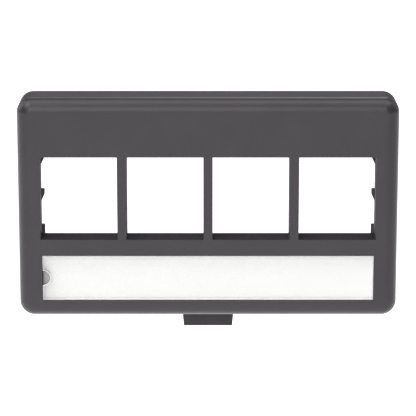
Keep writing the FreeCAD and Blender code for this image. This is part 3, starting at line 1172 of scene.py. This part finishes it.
@dataclass
class LabelCard:
    """The plain card, cut with slightly worn corners."""

    finish: CardStock
    edge_fit_mm: float = 0.04
    bared_drop_mm: float = 0.33
    corner_radius_mm: float = 0.2
    edge_radius_mm: float = 0.06
    steps: int = 6

    def build(self) -> bpy.types.Object:
        """Builds and dresses the card.

        Returns:
            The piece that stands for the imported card.
        """
        low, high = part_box("label_card")
        tree = ShapeTree("card_blank")
        fit = tree.size("Edge Fit", self.edge_fit_mm * MM)
        width = tree.size("Width", high[0] - low[0]) + fit * 2.0
        front, back = tree.size("Front", low[1]), tree.size("Back", high[1])
        bottom, top = tree.size("Bottom", low[2]) - fit, tree.size("Top", high[2]) + fit
        corner = tree.size("Corner Radius", self.corner_radius_mm * MM)
        edge = tree.size("Edge Radius", self.edge_radius_mm * MM)
        card = tree.cushion(width, bottom, top, front, back, corner, edge, self.steps,
                            self.steps)
        # The middle of the card's painted shade spot, under the notch.
        bared = Vector((low[0], 0.0, (low[2] + high[2]) / 2.0 - self.bared_drop_mm * MM))
        tree.finish(card, self.finish.make(bared))
        piece = tree.make("card_blank")
        tidy_mesh(piece)
        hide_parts("label_card")
        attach(piece, ROOT_BODY)
        return piece


class CoverFinish(IntEnum):
    """The cover's finishes, in the order of its material slots."""

    CLEAR = 0
    FROSTED = 1
    MILLED = 2


@dataclass
class LabelCover:
    """The clear cover, bevelled round its front, with a half-round notch for a fingernail."""

    clear: CoverPlastic
    frosted: CoverPlastic
    # The notch walls' finish: rough and nearly opaque, with a grey colour that is painted shade.
    milled: CoverPlastic
    notch_radius_mm: float = 1.45
    notch_sides: int = 96
    bevel_width_mm: float = 0.15
    bevel_depth_mm: float = 0.05
    edge_fit_mm: float = 0.04
    card_gap_mm: float = 0.03
    overshoot_mm: float = 1.0
    arris_mm: float = 0.03
    arris_segments: int = 2
    arris_from: float = math.radians(15)
    facing: float = 0.9
    edge_on: float = 0.1

    def build(self) -> bpy.types.Object:
        """Builds and dresses the cover.

        Returns:
            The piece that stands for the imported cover.
        """
        low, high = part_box("label_cover")
        tree = ShapeTree("clear_cover")
        fit = tree.size("Edge Fit", self.edge_fit_mm * MM)
        left, right = tree.size("Left", low[0]) - fit, tree.size("Right", high[0]) + fit
        front = tree.size("Front", low[1])
        back = tree.size("Back", high[1] - self.card_gap_mm * MM)
        bottom, top = tree.size("Bottom", low[2]) - fit, tree.size("Top", high[2]) + fit
        radius = tree.size("Notch Radius", self.notch_radius_mm * MM)
        beyond = tree.size("Overshoot", self.overshoot_mm * MM)
        slab = tree.box(left, right, front, back, bottom, top)
        peg = tree.peg(left, (bottom + top) / 2.0, front - beyond, back + beyond, radius,
                       self.notch_sides)
        tree.finish(tree.cut(slab, [peg]), self.clear.make())
        piece = tree.make("cover_lens")
        piece.data.materials.append(self.frosted.make())
        piece.data.materials.append(self.milled.make())
        tidy_mesh(piece)
        self.bevel(piece, Vector((plain(left), 0.0, (plain(bottom) + plain(top)) / 2.0)))
        soften(piece, self.arris_mm * MM, self.arris_segments, self.arris_from, Miter.SHARP)
        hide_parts("label_cover")
        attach(piece, ROOT_BODY)
        return piece

    def bevel(self, piece: bpy.types.Object, notch: Vector) -> None:
        """Cuts the bevel round the front, and gives the edges and the notch their finishes.

        Args:
            piece: the cover.
            notch: the middle of the notch.
        """
        work = bmesh.new()
        work.from_mesh(piece.data)
        work.normal_update()
        front = [face for face in work.faces if face.normal.y < -self.facing]
        level = front[0].verts[0].co.y
        bmesh.ops.inset_region(work, faces=front, thickness=self.bevel_width_mm * MM,
                               use_even_offset=True, use_boundary=True)
        inner = {vert for face in front for vert in face.verts}
        for vert in work.verts:
            if vert not in inner and abs(vert.co.y - level) < SAME_LEVEL:
                vert.co.y += self.bevel_depth_mm * MM
        work.normal_update()
        for face in work.faces:
            away = face.calc_center_median() - notch
            away.y = 0.0
            finish = CoverFinish.FROSTED
            if face in front or face.normal.y > self.facing:
                finish = CoverFinish.CLEAR
            # The notch's walls get the grey finish: painted shade for the notch.
            elif (abs(face.normal.y) < self.edge_on
                  and away.length < self.notch_radius_mm * MM):
                finish = CoverFinish.MILLED
            face.material_index = finish
        work.to_mesh(piece.data)
        work.free()


# -- The studio ------------------------------------------------------------------------------

@dataclass(frozen=True)
class Softbox:
    """A rectangular lamp that looks at the faceplate. Angles are in degrees."""

    name: str
    azimuth: float
    elevation: float
    distance: float
    width: float
    height: float
    radiance: float

    def hang(self) -> None:
        """Puts the lamp up. Azimuth 0 is in front of the face, and 90 is at +X."""
        lamp = bpy.data.lights.new(self.name, "AREA")
        lamp.shape = "RECTANGLE"
        lamp.size = self.width
        lamp.size_y = self.height
        lamp.energy = self.radiance * math.pi * self.width * self.height
        holder = bpy.data.objects.new(self.name, lamp)
        bpy.context.scene.collection.objects.link(holder)
        turn, rise = math.radians(self.azimuth), math.radians(self.elevation)
        away = Vector((math.sin(turn) * math.cos(rise), -math.cos(turn) * math.cos(rise),
                       math.sin(rise)))
        holder.location = away * self.distance
        holder.rotation_euler = away.to_track_quat("Z", "Y").to_euler()


@dataclass
class Studio:
    """Floor, lamps, room light and camera."""

    elevation: float = math.radians(13.106)
    camera_distance: float = 0.4367
    aim_height: float = 0.000337
    lens_mm: float = 195.23
    sensor_mm: float = 36.0
    nearest: float = 0.01
    farthest: float = 50.0
    floor_drop: float = 0.12
    floor_reach: float = 4.0
    floor_colour: Colour = (0.90, 0.90, 0.90)
    floor_lift: float = 0.76
    room: Colour = (0.06, 0.06, 0.06)
    lamps: tuple[Softbox, ...] = (
        Softbox("front", -8, 21, 1.2, 0.75, 0.8, 3.45),
        Softbox("upper_front", -15, 52, 1.2, 1.2, 0.5, 0.85),
        Softbox("key", -50, 52, 1.2, 0.8, 0.8, 2.7),
        Softbox("fill", 45, 58, 1.2, 0.7, 0.7, 1.2),
        Softbox("overhead", 0, 91, 1.0, 1.6, 0.7, 2.3),
        Softbox("back", 180, 21, 1.2, 2.0, 0.12, 1.3),
        Softbox("left", -112, 25, 1.2, 0.8, 0.9, 2.1),
        Softbox("right", 112, 25, 1.2, 0.8, 0.9, 0.8),
    )

    def set_up(self) -> None:
        """Puts everything in its place."""
        self.place_camera()
        self.lay_floor()
        self.light_room()
        for lamp in self.lamps:
            lamp.hang()
        bpy.context.scene.view_settings.view_transform = "Standard"

    def place_camera(self) -> None:
        """Puts the camera square to the face and a little above it."""
        low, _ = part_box("faceplate")
        camera = bpy.data.cameras.new("camera")
        camera.lens = self.lens_mm
        camera.sensor_width = self.sensor_mm
        camera.clip_start = self.nearest
        camera.clip_end = self.farthest
        holder = bpy.data.objects.new("camera", camera)
        bpy.context.scene.collection.objects.link(holder)
        away = Vector((0.0, -math.cos(self.elevation), math.sin(self.elevation)))
        holder.location = Vector((0.0, low[1], self.aim_height)) + away * self.camera_distance
        holder.rotation_euler = (QUARTER_TURN - self.elevation, 0.0, 0.0)
        bpy.context.scene.camera = holder

    def lay_floor(self) -> None:
        """Lays a wide pale floor well below the plate, which keeps its shadow."""
        low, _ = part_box("faceplate")
        reach, level = self.floor_reach, low[2] - self.floor_drop
        mesh = bpy.data.meshes.new("floor")
        corners = [(-reach, -reach, level), (reach, -reach, level), (reach, reach, level),
                   (-reach, reach, level)]
        mesh.from_pydata(corners, [], [(0, 1, 2, 3)])
        floor = bpy.data.objects.new("floor", mesh)
        bpy.context.scene.collection.objects.link(floor)
        mesh.materials.append(self.floor_material())

    def floor_material(self) -> bpy.types.Material:
        """Makes pale paper that looks white, and keeps its shadows.

        Returns:
            The material.
        """
        material = bpy.data.materials.new("floor_paper")
        material.use_nodes = True
        sheet = NodeSheet(material.node_tree)
        sheet.tree.nodes.clear()
        path = sheet.add("ShaderNodeLightPath")
        seen = Number(sheet, path.outputs["Is Camera Ray"], 1.0) \
            + Number(sheet, path.outputs["Is Glossy Ray"], 0.0) \
            + Number(sheet, path.outputs["Is Transmission Ray"], 0.0)
        seen.socket.node.use_clamp = True
        paper = sheet.add("ShaderNodeBsdfDiffuse", {"Color": (*self.floor_colour, 1.0)})
        white = sheet.add("ShaderNodeEmission", {"Strength": seen * self.floor_lift})
        both = sheet.add("ShaderNodeAddShader", {0: paper.outputs[0], 1: white.outputs[0]})
        sheet.add("ShaderNodeOutputMaterial", {0: both.outputs[0]})
        return material

    def light_room(self) -> None:
        """Adds even, dim light from the room."""
        world = bpy.data.worlds.new("room")
        world.use_nodes = True
        world.node_tree.nodes["Background"].inputs["Color"].default_value = (*self.room, 1.0)
        bpy.context.scene.world = world


# -- The whole -------------------------------------------------------------------------------

def report(piece: bpy.types.Object) -> None:
    """Logs a piece's size.

    Args:
        piece: the piece.
    """
    box = [Vector(corner) for corner in piece.bound_box]
    spans = [(max(point[axis] for point in box) - min(point[axis] for point in box)) / MM
             for axis in range(3)]
    LOG.info("%s: %.2f x %.2f x %.2f mm, %d faces, %s", piece.name, *spans,
             len(piece.data.polygons), [slot.name for slot in piece.material_slots])


def main() -> None:
    """Builds the faceplate's pieces and the studio round them."""
    logging.basicConfig(level=logging.INFO, format="%(name)s: %(message)s")
    Studio().set_up()
    # A painted highlight along the plate's top edge, for the outside finish.
    line = WitnessLine.over(*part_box("faceplate"), PlateSizes().edge_radius * MM)
    pieces = (
        MouldedPlate(
            outside=MouldedPlastic("satin_abs", smoothest=0.28, roughest=0.36, gloss=0.35,
                                   line=line),
            # Its depth of 0.83 darkens it: painted shade inside the ports and hollows.
            inside=MouldedPlastic("matte_abs", smoothest=0.58, roughest=0.68, gloss=0.20,
                                  depth=0.83),
            under=MouldedPlastic("tongue_abs", smoothest=0.42, roughest=0.50, gloss=0.28)),
        LabelCard(CardStock()),
        LabelCover(
            clear=CoverPlastic("clear_acrylic", Clarity.CLEAR, smoothest=0.04, roughest=0.10),
            frosted=CoverPlastic("frosted_acrylic", Clarity.FROSTED, smoothest=0.35,
                                 roughest=0.50),
            # Grey colour: painted shade on the notch walls.
            milled=CoverPlastic("milled_acrylic", Clarity.MILLED, smoothest=0.55, roughest=0.70,
                                colour=(0.45, 0.45, 0.45))),
    )
    for piece in pieces:
        report(piece.build())


if __name__ == "__main__":
    main()
